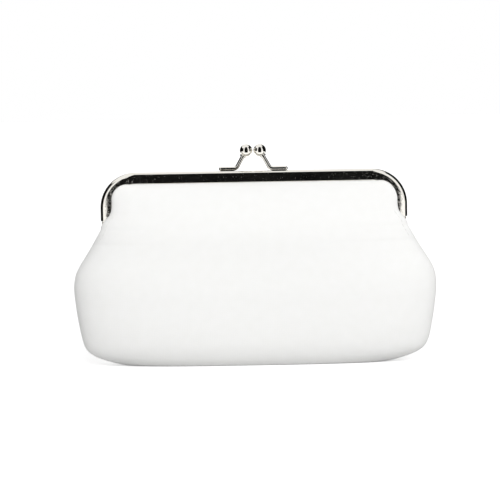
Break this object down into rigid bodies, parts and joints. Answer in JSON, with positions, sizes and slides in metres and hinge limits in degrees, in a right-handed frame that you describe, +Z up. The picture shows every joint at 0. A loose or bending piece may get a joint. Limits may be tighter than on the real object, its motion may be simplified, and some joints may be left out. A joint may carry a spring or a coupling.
{
  "type": "kiss-lock clutch purse",
  "caption": "Padded, lined cloth clutch purse gathered into a U-shaped metal frame that hinges open on side rivets and snaps shut with ball-ended arms on its crown.",
  "frame": {"origin": "middle of the flat base, under the centre of the bounding box", "axes": "+X across the width to the viewer's right, -Y towards the front, +Z up to the clasp"},
  "size_m": [0.2086, 0.0466, 0.1262],
  "materials": {
    "white_cloth": "matte smooth",
    "foam": "matte",
    "lining": "satin",
    "nickel_plate": "polished",
    "paper": "matte"
  },
  "bodies": {
    "pouch": {"front_outer_lower": "white_cloth", "rear_outer_lower": "white_cloth", "front_padding_lower": "foam", "rear_padding_lower": "foam", "front_lining_lower": "lining", "rear_lining_lower": "lining"},
    "front_frame": {"front_frame_channel": "nickel_plate", "front_clasp_arm": "nickel_plate", "front_clasp_ball": "nickel_plate", "front_paper_cord": "paper", "front_outer_upper": "white_cloth", "front_padding_upper": "foam", "front_lining_upper": "lining"},
    "rear_frame": {"rear_frame_channel": "nickel_plate", "rear_clasp_arm": "nickel_plate", "rear_clasp_ball": "nickel_plate", "rear_paper_cord": "paper", "left_hinge_rivet": "nickel_plate", "right_hinge_rivet": "nickel_plate", "rear_outer_upper": "white_cloth", "rear_padding_upper": "foam", "rear_lining_upper": "lining"}
  },
  "joints": [
    {"name": "front_frame_hinge", "type": "hinge", "parent": "pouch", "child": "front_frame", "pos_m": [0, 0, 0.079], "axis": [1, 0, 0], "range_deg": [0, 50]},
    {"name": "rear_frame_hinge", "type": "hinge", "parent": "pouch", "child": "rear_frame", "pos_m": [0, 0, 0.079], "axis": [1, 0, 0], "range_deg": [-50, 0]}
  ],
  "couplings": [
    {"joint": "rear_frame_hinge", "follows": "front_frame_hinge", "ratio": -1}
  ]
}
